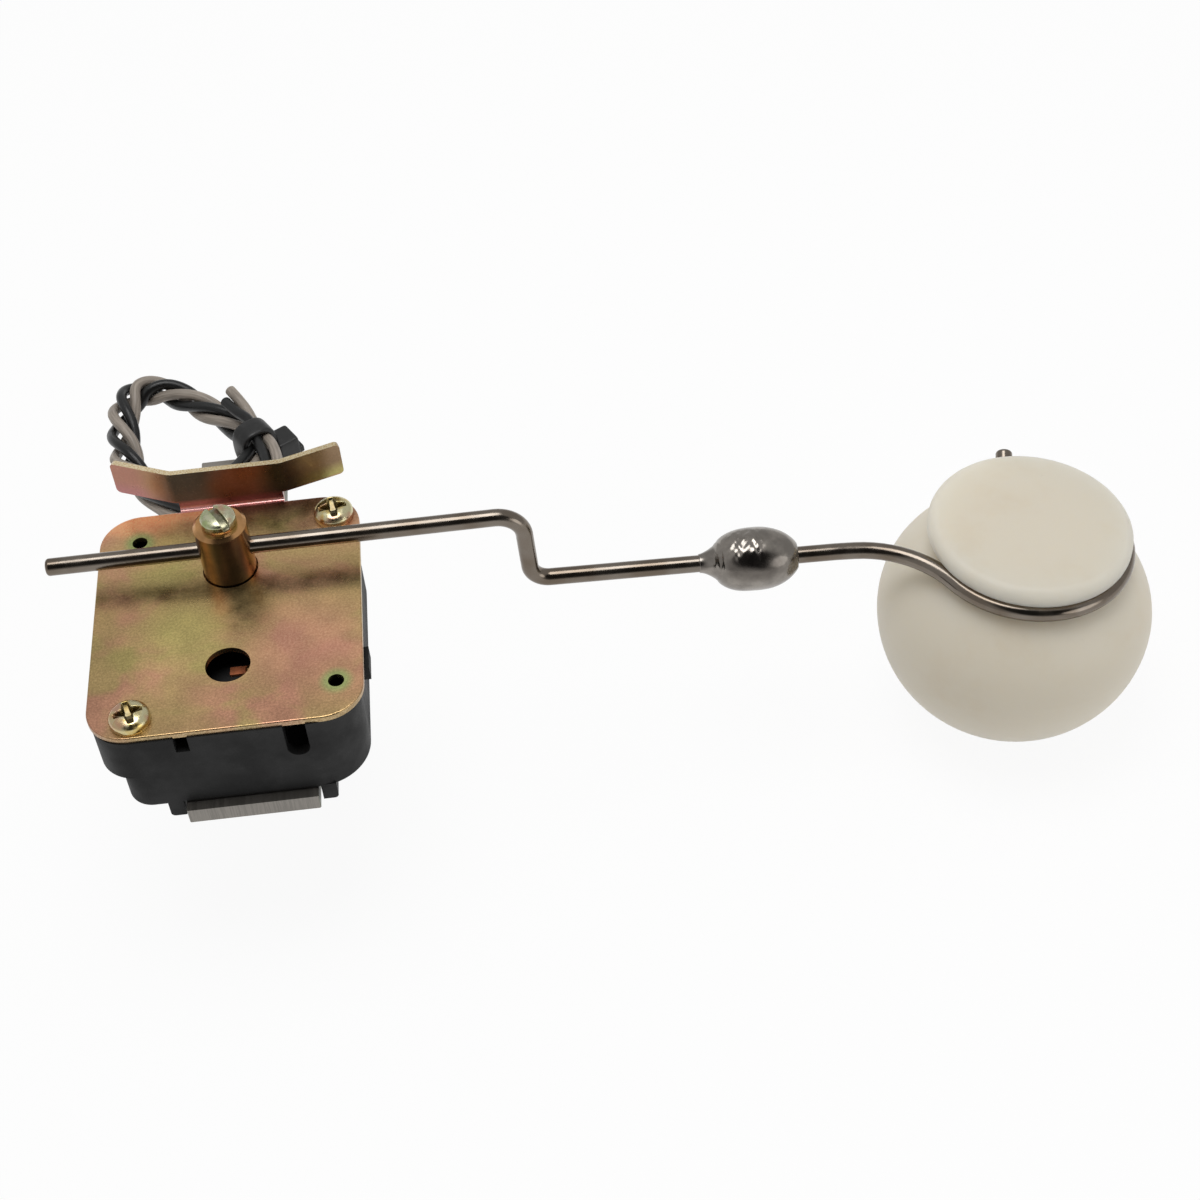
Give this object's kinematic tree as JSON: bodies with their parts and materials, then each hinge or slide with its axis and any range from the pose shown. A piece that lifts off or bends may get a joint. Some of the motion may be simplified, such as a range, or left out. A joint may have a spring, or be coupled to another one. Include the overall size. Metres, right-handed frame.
{
  "type": "fuel sending unit",
  "caption": "Lever-arm tank level sender: plated cover on a moulded cup with a flat mounting strap, brass hub, bent rod with ballast and plastic float, and a coiled pair of leads.",
  "frame": {"origin": "on the back face of the mounting strap, on the axis of the hub", "axes": "+Z along the hub's axis from the strap towards the cover, +X along the float arm at mid travel towards the float, +Y towards the tail of the strap and the leads"},
  "size_m": [0.2026, 0.11, 0.0725],
  "materials": {
    "bare_aluminium": "sheared bar, satin",
    "black_moulding": "moulded, matte",
    "yellow_plated_steel": "zinc with yellow passivation, clouded",
    "plated_screw": "zinc with yellow passivation, bright",
    "turned_brass": "turned, satin",
    "drawn_rod": "drawn, polished",
    "cast_lead": "cast, dull grey",
    "float_plastic": "blow moulded, slightly translucent",
    "copper": "rolled strip",
    "brown_card": "laminated card",
    "resistance_wire": "close-wound fine wire",
    "soft_rubber": "moulded, dull",
    "lead_jacket": "extruded insulation",
    "tie_nylon": "moulded nylon"
  },
  "bodies": {
    "base": {"mounting_strap": "bare_aluminium", "strap_rivets": "bare_aluminium", "housing": "black_moulding", "cover_plate": "yellow_plated_steel", "cover_screws": "plated_screw", "resistor_former": "brown_card", "resistance_winding": "resistance_wire", "spring_washer": "copper", "hub_terminal": "turned_brass", "winding_terminal": "turned_brass", "terminal_rivets": "turned_brass", "lead_grommet": "soft_rubber", "lead_run": "lead_jacket", "lead_coil": "lead_jacket", "lead_ends": "lead_jacket", "cable_tie": "tie_nylon"},
    "arm": {"hub_shaft": "turned_brass", "clamp_screw": "plated_screw", "float_arm": "drawn_rod", "ballast_weight": "cast_lead", "float": "float_plastic", "wiper_carrier": "black_moulding", "contact_blade": "copper", "blade_rivet": "turned_brass", "contact_button": "copper"}
  },
  "joints": [
    {"name": "arm_swing", "type": "hinge", "parent": "base", "child": "arm", "pos_m": [0, 0, 0.0266], "axis": [0, 0, 1], "range_deg": [-41, 39]}
  ]
}
